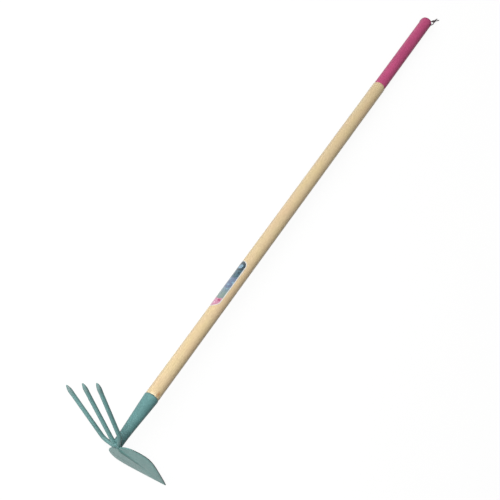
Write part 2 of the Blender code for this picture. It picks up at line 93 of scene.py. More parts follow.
HALF = [(-4.0, 14.0), (-3.5, 19.5), (-2.4, 24.2), (-0.6, 28.8), (2.0, 33.0),
        (5.0, 36.4), (10.0, 40.4), (15.0, 43.4), (20.0, 45.7), (25.0, 47.3),
        (30.0, 48.1), (35.0, 48.3), (40.0, 47.6), (45.0, 46.3), (50.0, 44.6),
        (60.0, 40.2), (70.0, 34.8), (80.0, 29.2), (90.0, 23.6), (100.0, 17.9),
        (110.0, 12.0), (118.0, 7.2), (123.0, 4.0), (126.0, 1.9), (127.0, 0.7)]
LABEL_LOW, LABEL_HIGH, LABEL_ARC = 387.5, 515.0, 34.0
LABEL_AZ = math.radians(172.0)
THONG_R = 1.1


# ------------------------------------------------------------------- shapes
def smooth_table(table, x):
    """Catmull-Rom value of a table whose first column rises."""
    if x <= table[0][0]:
        return table[0][1]
    if x >= table[-1][0]:
        return table[-1][1]
    i = max(k for k in range(len(table) - 1) if table[k][0] <= x)
    x1, y1 = table[i]
    x2, y2 = table[i + 1]
    x0, y0 = table[i - 1] if i > 0 else (2 * x1 - x2, 2 * y1 - y2)
    x3, y3 = table[i + 2] if i + 2 < len(table) else (2 * x2 - x1, 2 * y2 - y1)
    m1, m2, h = (y2 - y0) / (x2 - x0), (y3 - y1) / (x3 - x1), x2 - x1
    t = (x - x1) / h
    return ((2 * t**3 - 3 * t**2 + 1) * y1 + (t**3 - 2 * t**2 + t) * h * m1
            + (-2 * t**3 + 3 * t**2) * y2 + (t**3 - t**2) * h * m2)


def lerp_table(table, x):
    if x <= table[0][0]:
        return table[0][1]
    for (a, fa), (b, fb) in zip(table, table[1:]):
        if x <= b:
            return fa + (fb - fa) * (x - a) / (b - a)
    return table[-1][1]


def filleted(points, radii):
    """A polyline whose inner corners are arcs."""
    pts = [Vector(p) for p in points]
    out = [pts[0]]
    for i in range(1, len(pts) - 1):
        a, b, c = pts[i - 1], pts[i], pts[i + 1]
        u, v = (a - b).normalized(), (c - b).normalized()
        half = u.angle(v) / 2
        d = radii[i - 1] / math.tan(half)
        centre = b + (u + v).normalized() * (radii[i - 1] / math.sin(half))
        p, q = b + u * d - centre, b + v * d - centre
        turn = p.angle(q)
        n = max(6, int(turn / math.radians(2)))
        for k in range(n + 1):
            t = k / n
            w = (p * math.sin((1 - t) * turn) + q * math.sin(t * turn)) / math.sin(turn)
            out.append(centre + w)
    out.append(pts[-1])
    return out


def spaced(points, step):
    """The polyline again, with points evenly spaced along it, and its length."""
    pts = [Vector(p) for p in points]
    along = [0.0]
    for a, b in zip(pts, pts[1:]):
        along.append(along[-1] + (b - a).length)
    n = max(2, round(along[-1] / step))
    out, j = [], 0
    for k in range(n + 1):
        s = along[-1] * k / n
        while j < len(along) - 2 and along[j + 1] < s:
            j += 1
        t = (s - along[j]) / max(along[j + 1] - along[j], 1e-9)
        out.append(pts[j].lerp(pts[j + 1], min(max(t, 0.0), 1.0)))
    return out, along[-1]


def spline(points, per=8):
    """A smooth curve through points (centripetal Catmull-Rom)."""
    pts = [Vector(p) for p in points]
    pts = [2 * pts[0] - pts[1]] + pts + [2 * pts[-1] - pts[-2]]
    out = []
    for p0, p1, p2, p3 in zip(pts, pts[1:], pts[2:], pts[3:]):
        t0 = 0.0
        t1 = t0 + max((p1 - p0).length, 1e-6) ** 0.5
        t2 = t1 + max((p2 - p1).length, 1e-6) ** 0.5
        t3 = t2 + max((p3 - p2).length, 1e-6) ** 0.5
        for k in range(per):
            t = t1 + (t2 - t1) * k / per
            a1 = p0 * ((t1 - t) / (t1 - t0)) + p1 * ((t - t0) / (t1 - t0))
            a2 = p1 * ((t2 - t) / (t2 - t1)) + p2 * ((t - t1) / (t2 - t1))
            a3 = p2 * ((t3 - t) / (t3 - t2)) + p3 * ((t - t2) / (t3 - t2))
            b1 = a1 * ((t2 - t) / (t2 - t0)) + a2 * ((t - t0) / (t2 - t0))
            b2 = a2 * ((t3 - t) / (t3 - t1)) + a3 * ((t - t1) / (t3 - t1))
            out.append(b1 * ((t2 - t) / (t2 - t1)) + b2 * ((t - t1) / (t2 - t1)))
    out.append(pts[-2])
    return out


def place(o, mat, body, slot, *nodes):
    """Puts a piece, made in the tool's frame, on the tool and on its body."""
    SCENE.collection.objects.link(o)
    o.data.transform(REST)
    o.data.materials.append(mat)
    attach(o, body)
    if nodes:
        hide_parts(*nodes)
    return o


def from_points(name, verts, faces, angle=40.0):
    """A smoothly shaded object from points in millimetres."""
    mesh = bpy.data.meshes.new(name)
    mesh.from_pydata([tuple(c * MM for c in v) for v in verts], [], faces)
    bm = bmesh.new()
    bm.from_mesh(mesh)
    bmesh.ops.remove_doubles(bm, verts=bm.verts, dist=1e-7)
    bmesh.ops.recalc_face_normals(bm, faces=bm.faces)
    bm.to_mesh(mesh)
    bm.free()
    mesh.shade_smooth()
    mesh.set_sharp_from_angle(angle=math.radians(angle))
    return bpy.data.objects.new(name, mesh)


def turned(name, profile, steps=96, closed=False, wobble=None, angle=40.0):
    """A turned piece; profile is (radius, z), wobble(azimuth, z) adds to radius."""
    verts, faces = [], []
    n = len(profile)
    for r, z in profile:
        for k in range(steps):
            a = math.tau * k / steps
            rr = r + (wobble(a, z) if wobble and r > 0.01 else 0.0)
            verts.append((rr * math.cos(a), rr * math.sin(a), z))
    for i in range(n if closed else n - 1):
        j = (i + 1) % n
        for k in range(steps):
            q = (k + 1) % steps
            quad = [i * steps + k, i * steps + q, j * steps + q, j * steps + k]
            if profile[i][0] < 0.01:
                quad = [i * steps, j * steps + q, j * steps + k]
            elif profile[j][0] < 0.01:
                quad = [i * steps + k, i * steps + q, j * steps]
            faces.append(tuple(quad))
    mesh_ob = from_points(name, verts, faces, angle)
    bm = bmesh.new()
    bm.from_mesh(mesh_ob.data)
    loose = [v for v in bm.verts if not v.link_faces]
    bmesh.ops.delete(bm, geom=loose, context="VERTS")
    bm.to_mesh(mesh_ob.data)
    bm.free()
    return mesh_ob


def bored(o, radius, centre, direction, length):
    """Cuts a round hole through a piece and keeps the result in its mesh."""
    mesh = bpy.data.meshes.new("bit")
    bm = bmesh.new()
    bmesh.ops.create_cone(bm, cap_ends=True, segments=48, radius1=radius * MM,
                          radius2=radius * MM, depth=length * MM)
    bm.to_mesh(mesh)
    bm.free()
    bit = bpy.data.objects.new("bit", mesh)
    SCENE.collection.objects.link(bit)
    SCENE.collection.objects.link(o)
    bit.matrix_world = (Matrix.Translation(Vector(centre) * MM)
                        @ Vector(direction).to_track_quat("Z", "Y").to_matrix().to_4x4())
    m = o.modifiers.new("bore", "BOOLEAN")
    m.solver, m.object = "EXACT", bit
    bpy.context.view_layer.update()
    graph = bpy.context.evaluated_depsgraph_get()
    made = bpy.data.meshes.new_from_object(o.evaluated_get(graph))
    o.modifiers.clear()
    o.data = made
    bpy.data.objects.remove(bit)
    SCENE.collection.objects.unlink(o)
    made.shade_smooth()
    made.set_sharp_from_angle(angle=math.radians(35))
    return o


def rings_to_object(name, rings, angle=40.0):
    n = len(rings[0])
    verts = [p for ring in rings for p in ring]
    faces = []
    for i in range(len(rings) - 1):
        for j in range(n):
            k = (j + 1) % n
            faces.append((i * n + j, i * n + k, (i + 1) * n + k, (i + 1) * n + j))
    faces.append(tuple(reversed(range(n))))
    faces.append(tuple((len(rings) - 1) * n + j for j in range(n)))
    return from_points(name, verts, faces, angle)


def tube(name, line, radius, resolution=6, cyclic=False):
    curve = bpy.data.curves.new(name, "CURVE")
    curve.dimensions = "3D"
    curve.bevel_depth = radius * MM
    curve.bevel_resolution = resolution
    curve.use_fill_caps = not cyclic
    sp = curve.splines.new("POLY")
    sp.points.add(len(line) - 1)
    for q, p in zip(sp.points, line):
        q.co = (p[0] * MM, p[1] * MM, p[2] * MM, 1.0)
    sp.use_cyclic_u = cyclic
    sp.use_smooth = True
    return bpy.data.objects.new(name, curve)


# ---------------------------------------------------------------- materials
class Nodes:
    """A Principled material and short calls for the nodes that feed it."""

    def __init__(self, name, rough=0.5, metal=0.0, **sockets):
        self.mat = bpy.data.materials.new(name)
        self.mat.use_nodes = True
        self.tree = self.mat.node_tree
        self.shader = self.tree.nodes["Principled BSDF"]
        self.shader.inputs["Roughness"].default_value = rough
        self.shader.inputs["Metallic"].default_value = metal
        for k, v in sockets.items():
            self.shader.inputs[k.replace("_", " ")].default_value = v
        # the pieces' points are in world metres, and back holds the tool's frame
        back = self.tree.nodes.new("ShaderNodeMapping")
        inverse = REST.inverted()
        back.inputs["Location"].default_value = inverse.to_translation()
        back.inputs["Rotation"].default_value = inverse.to_euler("XYZ")
        self.tree.links.new(self.tree.nodes.new("ShaderNodeTexCoord").outputs["Object"], back.inputs["Vector"])
        self.where = back.outputs["Vector"]

    def put(self, socket, value):
        if isinstance(value, bpy.types.NodeSocket):
            self.tree.links.new(value, socket)
        elif hasattr(socket.default_value, "__len__") and not hasattr(value, "__len__"):
            socket.default_value = (value,) * len(socket.default_value)
        elif hasattr(value, "__len__") and len(value) == 3 and len(socket.default_value) == 4:
            socket.default_value = (*value, 1.0)
        else:
            socket.default_value = value

    def math(self, op, a, b=0.0, c=None, clamp=False):
        n = self.tree.nodes.new("ShaderNodeMath")
        n.operation, n.use_clamp = op, clamp
        self.put(n.inputs[0], a)
        self.put(n.inputs[1], b)
        if c is not None:
            self.put(n.inputs[2], c)
        return n.outputs[0]

    def vec(self, op, a, b=(0.0, 0.0, 0.0)):
        n = self.tree.nodes.new("ShaderNodeVectorMath")
        n.operation = op
        self.put(n.inputs[0], a)
        if op == "SCALE":
            self.put(n.inputs["Scale"], b)
        else:
            self.put(n.inputs[1], b)
        return n.outputs["Value"] if op in ("DOT_PRODUCT", "LENGTH", "DISTANCE") else n.outputs[0]

    def split(self, v):
        n = self.tree.nodes.new("ShaderNodeSeparateXYZ")
        self.put(n.inputs[0], v)
        return n.outputs[0], n.outputs[1], n.outputs[2]

    def join(self, x, y, z):
        n = self.tree.nodes.new("ShaderNodeCombineXYZ")
        for s, v in zip(n.inputs, (x, y, z)):
            self.put(s, v)
        return n.outputs[0]

    def noise(self, vector, scale=1.0, detail=2.0, rough=0.5, distort=0.0, colour=False):
        n = self.tree.nodes.new("ShaderNodeTexNoise")
        self.put(n.inputs["Vector"], vector)
        n.inputs["Scale"].default_value = scale
        n.inputs["Detail"].default_value = detail
        n.inputs["Roughness"].default_value = rough
        n.inputs["Distortion"].default_value = distort
        return n.outputs["Color"] if colour else n.outputs["Fac"]

    def cells(self, vector, scale, out="Distance", feature="F1"):
        n = self.tree.nodes.new("ShaderNodeTexVoronoi")
        n.feature = feature
        self.put(n.inputs["Vector"], vector)
        n.inputs["Scale"].default_value = scale
        return n.outputs[out]

    def span(self, value, a, b, c=0.0, d=1.0, smooth=False):
        n = self.tree.nodes.new("ShaderNodeMapRange")
        if smooth:
            n.interpolation_type = "SMOOTHSTEP"
        self.put(n.inputs["Value"], value)
        for s, v in zip(("From Min", "From Max", "To Min", "To Max"), (a, b, c, d)):
            self.put(n.inputs[s], v)
        return n.outputs["Result"]

    def mix(self, fac, a, b, blend="MIX"):
        n = self.tree.nodes.new("ShaderNodeMix")
        n.data_type, n.blend_type = "RGBA", blend
        self.put(n.inputs[0], fac)
        self.put(n.inputs[6], a)
        self.put(n.inputs[7], b)
        return n.outputs[2]

    def ramp(self, fac, stops, how="LINEAR"):
        n = self.tree.nodes.new("ShaderNodeValToRGB")
        n.color_ramp.interpolation = how
        els = n.color_ramp.elements
        while len(els) < len(stops):
            els.new(0.5)
        for e, (p, c) in zip(els, stops):
            e.position = p
            e.color = (*c, 1.0)
        self.put(n.inputs[0], fac)
        return n.outputs[0]

    def bump(self, height, strength, distance, after=None):
        n = self.tree.nodes.new("ShaderNodeBump")
        n.inputs["Strength"].default_value = strength
        n.inputs["Distance"].default_value = distance
        self.put(n.inputs["Height"], height)
        if after is not None:
            self.put(n.inputs["Normal"], after)
        return n.outputs[0]

    def set(self, name, value):
        self.put(self.shader.inputs[name], value)


def rgb(r, g, b):
    """Linear colour of an 8-bit one."""
    return tuple((c / 255 / 12.92) if c <= 10 else ((c / 255 + 0.055) / 1.055) ** 2.4 for c in (r, g, b))


def paint(name, base, rough=0.36, peel=0.1, dust=0.0, rim=None, tips=None, edge_shade_from=None, rib_shade_depth=0.0):
    """Semi-gloss enamel on steel, with a painted dark line of shade at the rim (z) and painted shade towards the welds,
    worn at the tips, with painted dark shade past a place (x), and painted shade and highlight along a rib.
    """
    n = Nodes(name, rough, Specular_IOR_Level=0.5 if rough < 0.42 else 0.4)
    x, y, z = n.split(n.vec("SCALE", n.where, 1000.0))
    big = n.noise(n.where, 22.0, 3.0, 0.55)
    mid = n.noise(n.where, 140.0, 3.0, 0.6)
    dark = tuple(c * 0.86 for c in base)
    light = tuple(min(1.0, c * 1.10 + 0.006) for c in base)
    colour = n.ramp(big, [(0.3, dark), (0.7, light)])
    colour = n.mix(n.span(mid, 0.45, 0.75, 0.0, 0.16), colour, tuple(c * 0.8 for c in base))
    if dust:
        speck = n.noise(n.where, 420.0, 2.0, 0.7)
        colour = n.mix(n.span(speck, 0.5, 0.8, 0.0, dust), colour, (0.45, 0.5, 0.49))
    scuff_and_shade_noise = n.noise(n.where, 330.0, 3.0, 0.75, 0.4)
    if rim:
        # painted shade: a dark line just under the socket's rim, broken up by noise
        thin = n.math("MULTIPLY", n.span(z, rim - 2.2, rim - 1.0), n.span(scuff_and_shade_noise, 0.3, 0.6, 0.45, 0.75))
        colour = n.mix(thin, colour, (0.055, 0.095, 0.082))
        # painted shade: darker towards the welds at the socket's foot
        foot_shade = n.math("MULTIPLY", n.span(z, 48.0, 122.0, 0.45, 0.0, True), n.span(mid, 0.3, 0.7, 0.6, 1.0))
        colour = n.mix(foot_shade, colour, tuple(c * 0.45 for c in base))
    if tips:
        worn = n.math("MULTIPLY", n.span(x, tips, tips - 22.0), n.span(scuff_and_shade_noise, 0.42, 0.62, 0.1, 0.75))
        colour = n.mix(worn, colour, (0.27, 0.31, 0.30))
    if rib_shade_depth:
        # painted shade along the plate's middle rib, and painted highlight in paler grey at both of its sides
        off = n.math("SUBTRACT", y, n.math("MULTIPLY", n.math("SUBTRACT", x, 47.7), 0.035))
        beside_highlight = n.math("MULTIPLY", n.span(off, -12.0, -8.0, 0.0, 0.2, True), n.span(off, -8.0, -5.0, 1.0, 0.0, True))
        rib_highlight = n.math("MAXIMUM", n.span(off, 4.0, 12.0, 0.0, 0.17, True), beside_highlight)
        colour = n.mix(n.math("MULTIPLY", rib_highlight, n.span(mid, 0.3, 0.7, 0.8, 1.1)), colour, (0.45, 0.47, 0.48))
        rib_shade = n.math("MULTIPLY", n.span(off, -6.5, -3.0, 0.0, 1.0, True), n.span(off, 1.8, 6.0, 1.0, 0.0, True))
        rib_shade = n.math("MULTIPLY", rib_shade, n.span(x, 40.0, 78.0, rib_shade_depth, 0.0, True))
        colour = n.mix(rib_shade, colour, tuple(c * 0.4 for c in base))
    if edge_shade_from is not None:
        # painted shade: a near-black teal band past this place along x, used on the plate's edge faces
        colour = n.mix(n.span(x, edge_shade_from, edge_shade_from + 26.0, 0.0, 0.95, True), colour, (0.045, 0.075, 0.072))
    n.set("Base Color", colour)
    n.set("Roughness", n.span(mid, 0.3, 0.7, rough - 0.05, rough + 0.07))
    skin = n.noise(n.where, 650.0, 2.0, 0.5)
    n.set("Normal", n.bump(skin, peel, 0.0002, n.bump(n.noise(n.where, 90.0, 2.0), 0.12, 0.0006)))
    return n.mat


paint_head = paint("teal_enamel", (0.121, 0.279, 0.277), 0.42, rim=161.2)
paint_prongs = paint("teal_enamel_prongs", (0.122, 0.266, 0.258), 0.42, tips=-104.0)
# the plate's copy of the teal is lighter than the socket's, a painted sheen
paint_plate = paint("teal_enamel_plate", (0.124, 0.315, 0.295), 0.36, 0.12, 0.05, rib_shade_depth=0.62)
paint_edge = paint("teal_enamel_edge", (0.124, 0.315, 0.295), 0.42, 0.2, 0.05, edge_shade_from=-4.0)
paint_weld = paint("teal_enamel_weld", (0.118, 0.258, 0.254), 0.45, 0.3)


def wood():
    """Pale, lacquered, straight-grained hardwood along Z."""
    n = Nodes("lacquered_wood", 0.42, Coat_Weight=0.25, Coat_Roughness=0.28)
    mm = n.vec("SCALE", n.where, 1000.0)
    x, y, z = n.split(mm)
    slow = n.join(n.math("MULTIPLY", x, 0.02), n.math("MULTIPLY", y, 0.02), n.math("MULTIPLY", z, 0.0035))
    drift = n.span(n.noise(slow, 1.0, 3.0, 0.5), 0.0, 1.0, -9.0, 9.0)
    px = n.math("ADD", x, n.math("ADD", drift, 34.0))
    py = n.math("ADD", y, n.math("MULTIPLY", drift, 0.6))
    ring = n.math("SQRT", n.math("ADD", n.math("MULTIPLY", px, px), n.math("MULTIPLY", py, py)))
    ring = n.math("FRACT", n.math("MULTIPLY", ring, 0.29))
    late = n.math("MULTIPLY", n.span(ring, 0.25, 0.9, 0.0, 1.0, True), n.span(ring, 0.9, 1.0, 1.0, 0.0))
    fibre_at = n.join(n.math("MULTIPLY", x, 1.4), n.math("MULTIPLY", y, 1.4), n.math("MULTIPLY", z, 0.03))
    fibre = n.noise(fibre_at, 1.0, 4.0, 0.65)
    pore_at = n.join(n.math("MULTIPLY", x, 2.6), n.math("MULTIPLY", y, 2.6), n.math("MULTIPLY", z, 0.11))
    pore = n.span(n.noise(pore_at, 1.0, 2.0, 0.5), 0.63, 0.74)
    cloud_at = n.join(n.math("MULTIPLY", x, 0.03), n.math("MULTIPLY", y, 0.03), n.math("MULTIPLY", z, 0.012))
    cloud = n.noise(cloud_at, 1.0, 2.0, 0.5)
    early, dense = rgb(231, 212, 171), rgb(210, 183, 138)
    colour = n.mix(n.math("MULTIPLY", late, 0.55), early, dense)
    colour = n.mix(n.span(fibre, 0.35, 0.75, 0.0, 0.5), colour, rgb(206, 180, 136))
    colour = n.mix(n.span(cloud, 0.35, 0.65, 0.0, 0.5), colour, rgb(226, 193, 156))
    tint = n.noise(n.join(n.math("MULTIPLY", x, 0.06), n.math("MULTIPLY", y, 0.06), n.math("MULTIPLY", z, 0.02)), 1.0, 2.0, 0.5)
    colour = n.mix(n.span(tint, 0.42, 0.66, 0.0, 0.45), colour, rgb(223, 202, 150))
    colour = n.mix(n.math("MULTIPLY", n.math("MULTIPLY", pore, 0.5), n.span(late, 0.0, 1.0, 1.0, 0.4)), colour, rgb(165, 127, 84))
    # bare, paler wood where the shaft is turned down above the socket
    fresh = n.math("MULTIPLY", n.span(z, 163.6, 164.6, 1.0, 0.0), n.span(z, 158.0, 159.0, 0.0, 1.0))
    colour = n.mix(n.math("MULTIPLY", fresh, 0.4), colour, rgb(236, 222, 188))
    # a small brown pin knot near the socket
    pin = n.vec("LENGTH", n.vec("MULTIPLY", n.vec("SUBTRACT", mm, (0.4, -14.2, 169.0)), (1.0, 1.0, 0.55)))
    pin = n.math("ADD", pin, n.span(fibre, 0.3, 0.7, -0.8, 0.8))
    colour = n.mix(n.span(pin, 1.2, 4.6, 0.7, 0.0, True), colour, rgb(190, 134, 84))
    n.set("Base Color", colour)
    n.set("Roughness", n.span(fibre, 0.3, 0.75, 0.38, 0.52))
    n.set("Normal", n.bump(n.math("SUBTRACT", n.math("MULTIPLY", fibre, 0.4), pore), 0.16, 0.00035))
    return n.mat


def sleeve_plastic():
    """Soft, satin moulded plastic."""
    n = Nodes("pink_plastic", 0.46)
    x, y, z = n.split(n.where)
    long_way = n.join(n.math("MULTIPLY", x, 60.0), n.math("MULTIPLY", y, 60.0), n.math("MULTIPLY", z, 14.0))
    cloud = n.noise(long_way, 1.0, 3.0, 0.6)
    grain = n.noise(n.where, 1500.0, 2.0, 0.6)
    pebble = n.cells(n.where, 900.0)
    base = (0.55, 0.080, 0.212)
    colour = n.ramp(cloud, [(0.3, tuple(c * 0.88 for c in base)), (0.7, tuple(min(1, c * 1.08 + 0.004) for c in base))])
    colour = n.mix(n.span(grain, 0.45, 0.8, 0.0, 0.18), colour, (0.40, 0.055, 0.15))
    # painted shade: darker towards the rounded end
    end = n.math("ADD", n.math("MULTIPLY", z, 1000.0), n.span(cloud, 0.3, 0.7, -1.5, 1.5))
    colour = n.mix(n.span(end, GRIP_TOP - 9.0, GRIP_TOP - 1.0, 0.0, 0.45, True), colour, (0.27, 0.055, 0.13))
    n.set("Base Color", colour)
    n.set("Roughness", n.span(grain, 0.3, 0.7, 0.42, 0.56))
    n.set("Normal", n.bump(pebble, 0.12, 0.00025, n.bump(grain, 0.12, 0.0001)))
    return n.mat


def thong_leather():
    """Dark round leather lace."""
    n = Nodes("dark_leather", 0.62, Sheen_Weight=0.15, Sheen_Roughness=0.4)
    crease = n.cells(n.where, 1300.0)
    mottled = n.noise(n.where, 260.0, 3.0, 0.6)
    colour = n.ramp(mottled, [(0.3, (0.052, 0.031, 0.038)), (0.7, (0.135, 0.083, 0.100))])
    n.set("Base Color", colour)
    n.set("Roughness", n.span(mottled, 0.3, 0.7, 0.55, 0.72))
    n.set("Normal", n.bump(crease, 0.45, 0.0002, n.bump(mottled, 0.35, 0.0004)))
    return n.mat


def zinc():
    n = Nodes("zinc_plate", 0.36, 1.0)
    m = n.noise(n.where, 700.0, 3.0, 0.6)
    n.set("Base Color", n.ramp(m, [(0.3, (0.38, 0.38, 0.37)), (0.7, (0.56, 0.55, 0.5))]))
    n.set("Roughness", n.span(m, 0.3, 0.7, 0.3, 0.48))
    n.set("Normal", n.bump(m, 0.1, 0.0001))
    return n.mat


def label_film():
    """A printed film: bands and discs of blue, grey-green and pink in a white rim."""
    n = Nodes("printed_film", 0.3, Coat_Weight=0.4, Coat_Roughness=0.15)
    mm = n.vec("SCALE", n.where, 1000.0)
    x, y, z = n.split(mm)
    ca, sa = math.cos(LABEL_AZ), math.sin(LABEL_AZ)
    u = n.math("ADD", n.math("MULTIPLY", x, ca), n.math("MULTIPLY", y, sa))
    v = n.math("SUBTRACT", n.math("MULTIPLY", y, ca), n.math("MULTIPLY", x, sa))
    across = n.math("MULTIPLY", n.math("ARCTAN2", v, u), SHAFT_R)
    mid, half_len, half_arc = (LABEL_LOW + LABEL_HIGH) / 2, (LABEL_HIGH - LABEL_LOW) / 2, LABEL_ARC / 2
    over = n.math("MAXIMUM", n.math("SUBTRACT", n.math("ABSOLUTE", n.math("SUBTRACT", z, mid)), half_len - half_arc), 0.0)
    reach = n.math("SQRT", n.math("ADD", n.math("MULTIPLY", across, across), n.math("MULTIPLY", over, over)))
    rim = n.span(reach, half_arc - 2.0, half_arc - 1.7)
    bend = n.math("MULTIPLY", n.math("SINE", n.math("MULTIPLY", across, 0.22)), 3.4)
    t = n.span(n.math("ADD", z, bend), LABEL_LOW, LABEL_HIGH)
    slate, pale, steel = rgb(62, 80, 90), rgb(136, 170, 192), rgb(76, 106, 120)
    violet, grey, green, pink = rgb(112, 128, 154), rgb(128, 148, 156), rgb(136, 155, 150), rgb(208, 144, 170)
    colour = n.ramp(t, [
        (0.00, pink), (0.190, pink), (0.205, green), (0.32, green), (0.35, grey), (0.42, grey),
        (0.435, violet), (0.64, violet), (0.66, steel), (0.80, steel), (0.815, slate), (1.0, slate),
    ])
    # thin pale lines along the bands, discs and dots
    here = n.join(across, z, 0.0)
    lines = n.math("PINGPONG", n.math("MULTIPLY", t, 22.0), 1.0)
    lines = n.math("MULTIPLY", n.span(lines, 0.86, 0.94), n.math("MULTIPLY", n.span(t, 0.3, 0.34), n.span(t, 0.64, 0.66, 1.0, 0.0)))
    colour = n.mix(n.math("MULTIPLY", lines, 0.5), colour, pale)
    for a, up, size, tone in ((5.0, 0.868, 5.6, pale), (13.0, 0.53, 2.6, pale), (7.0, 0.47, 2.0, pale),
                              (3.0, 0.59, 1.8, pale), (10.5, 0.385, 1.7, pale), (4.5, 0.27, 2.1, grey),
                              (10.8, 0.145, 3.0, rgb(176, 80, 112)), (4.0, 0.085, 2.2, rgb(228, 176, 198)),
                              (11.0, 0.735, 2.8, slate), (3.5, 0.70, 2.0, slate)):
        disc = n.vec("DISTANCE", here, (a, LABEL_LOW + up * (LABEL_HIGH - LABEL_LOW), 0.0))
        colour = n.mix(n.span(disc, size - 0.2, size + 0.2, 0.92, 0.0), colour, tone)
    colour = n.mix(rim, colour, (0.74, 0.72, 0.68))
    n.set("Base Color", colour)
    n.set("Roughness", n.span(n.noise(n.where, 300.0, 2.0), 0.3, 0.7, 0.26, 0.36))
    return n.mat


# --------------------------------------------------------------------- thong
FRONT = [
    (0.11, -0.16, 1325.00), (2.29, -3.28, 1325.00), (4.59, -6.55, 1325.00),
    (5.99, -8.56, 1325.00), (7.03, -9.89, 1325.32), (8.04, -10.93, 1326.25),
    (8.88, -11.51, 1327.63), (9.41, -11.54, 1329.26), (11.54, -9.98, 1334.82),
    (14.26, -6.61, 1341.18), (15.35, -2.44, 1347.92), (16.59, 2.52, 1355.83),
    (17.74, 3.33, 1358.70), (18.89, 4.13, 1361.58), (23.69, 6.86, 1371.55),
    (29.06, 9.85, 1381.82)]
BACK = [
    (-0.11, 0.16, 1325.00), (-2.29, 3.28, 1325.00), (-4.59, 6.55, 1325.00),
    (-5.88, 8.40, 1325.00), (-6.84, 9.78, 1325.33), (-7.66, 10.94, 1326.29),
    (-8.21, 11.73, 1327.72), (-8.40, 12.00, 1329.40), (-8.20, 11.71, 1335.00),
    (-5.87, 11.39, 1341.41), (0.33, 10.24, 1346.44), (8.02, 6.83, 1350.31),
    (15.04, 4.73, 1355.83), (16.19, 5.54, 1358.70), (17.34, 6.34, 1361.58),
    (20.41, 8.19, 1370.04), (23.60, 10.05, 1379.50)]
KNOT_MID = Vector((16.965, 4.432, 1358.705))
KNOT_ALONG = Vector((0.35913, 0.25146, 0.89877))
KNOT_SIDE = Vector((0.57358, -0.81915, 0.0))
KNOT_UP = Vector((0.73623, 0.51551, -0.43842))

lace = thong_leather()


def wrapped_knot():
    """A lace wound round both strands, its ends tucked in under the turns."""
    turns, pitch, r = 2.2, 1.8, 0.88
    line, n = [], 150
    for k in range(n + 1):
        t = k / n
        a = math.tau * turns * t - 0.9
        tuck = min(1.0, min(t, 1 - t) / 0.09)
        off = THONG_R + 0.56 + 0.12 * math.sin(3 * a) * tuck - (1 - tuck) * 1.0
        flat = 1.35 * max(-1.0, min(1.0, 1.6 * math.cos(a)))
        side = flat + off * math.cos(a)
        up = off * math.sin(a)
        along = (t - 0.5) * turns * pitch + 0.55 * math.sin(a + 0.6)
        line.append(KNOT_MID + KNOT_SIDE * side + KNOT_UP * up + KNOT_ALONG * along)
    return tube("thong_knot", line, r, 6)


knot = place(wrapped_knot(), lace, "hang_loop", "thong", "cord_knot")
front_line, front_long = spaced(spline(FRONT), 0.7)
back_line, back_long = spaced(spline(BACK), 0.7)
front = place(tube("thong_front", front_line, THONG_R), lace, "hang_loop", "thong", "hang_cord_front")
back = place(tube("thong_back", back_line, THONG_R), lace, "hang_loop", "thong", "hang_cord_back")
h_dir = Vector((math.cos(HOLE_AZ), math.sin(HOLE_AZ), 0.0))
HOLE_MID = Vector((0.0, 0.0, HOLE_Z))


# --------------------------------------------------------------------- shaft
def shaft_wobble(a, z):
    p = Vector((math.cos(a) * 0.9, math.sin(a) * 0.9, z * 0.006))
    return 0.05 * noise.noise(p) if 166.0 < z < 1086.0 else 0.0


spigot = [(r - 1.8, z) for z, r in SOCKET_OUTER[1:-1]][::-1]
shaft_profile = (
    [(0.0, 1332.8), (9.4, 1332.8), (11.6, 1330.6), (11.8, 1092.0), (11.8, 1090.7),
     (13.1, 1090.7), (13.45, 1090.4), (13.75, 1089.9), (13.98, 1089.2), (14.12, 1088.4), (SHAFT_R, 1087.4)]
    + [(SHAFT_R, 1087.4 - (1087.4 - 166.6) * k / 90) for k in range(1, 91)]
    + [(14.1, 165.4), (13.9, 164.4), (12.95, 161.3)] + spigot
    + [(8.1, 57.0), (7.2, 53.8), (0.0, 53.8)]
)
shaft = bored(turned("wooden_shaft", shaft_profile, 96, wobble=shaft_wobble, angle=32.0),
              HOLE_R, HOLE_MID, h_dir, 60.0)
place(shaft, wood(), "tool", "wood", "handle_shaft")

# -------------------------------------------------------------------- sleeve
edge = [(GRIP_R_TOP - 4.6 + 4.6 * math.sin(math.radians(a)),
         GRIP_TOP - 4.6 + 4.6 * math.cos(math.radians(a))) for a in range(0, 91, 6)]
wall = [(GRIP_R_TOP + (GRIP_R_LOW - GRIP_R_TOP) * k / 40, 1330.4 - (1330.4 - 1092.6) * k / 40)
        for k in range(1, 41)]
sleeve_profile = (
    [(0.0, GRIP_TOP), (4.0, GRIP_TOP)] + edge + wall
    + [(GRIP_R_LOW - 0.02, 1092.0), (GRIP_R_LOW - 0.12, 1091.5), (GRIP_R_LOW - 0.32, 1091.15),
       (GRIP_R_LOW - 0.6, 1091.0), (GRIP_R_LOW - 1.0, 1091.02), (GRIP_R_LOW - 1.3, 1091.2)]
    + [(GRIP_R_TOP - 1.3, 1330.8), (9.7, 1333.2), (0.0, 1333.2)]
)


def sleeve_wobble(a, z):
    return 0.03 * noise.noise(Vector((math.cos(a), math.sin(a), z * 0.02)))


sleeve = bored(turned("grip_cover", sleeve_profile, 96, wobble=sleeve_wobble),
               HOLE_R, HOLE_MID, h_dir, 60.0)
place(sleeve, sleeve_plastic(), "tool", "pink_sleeve", "grip_sleeve")

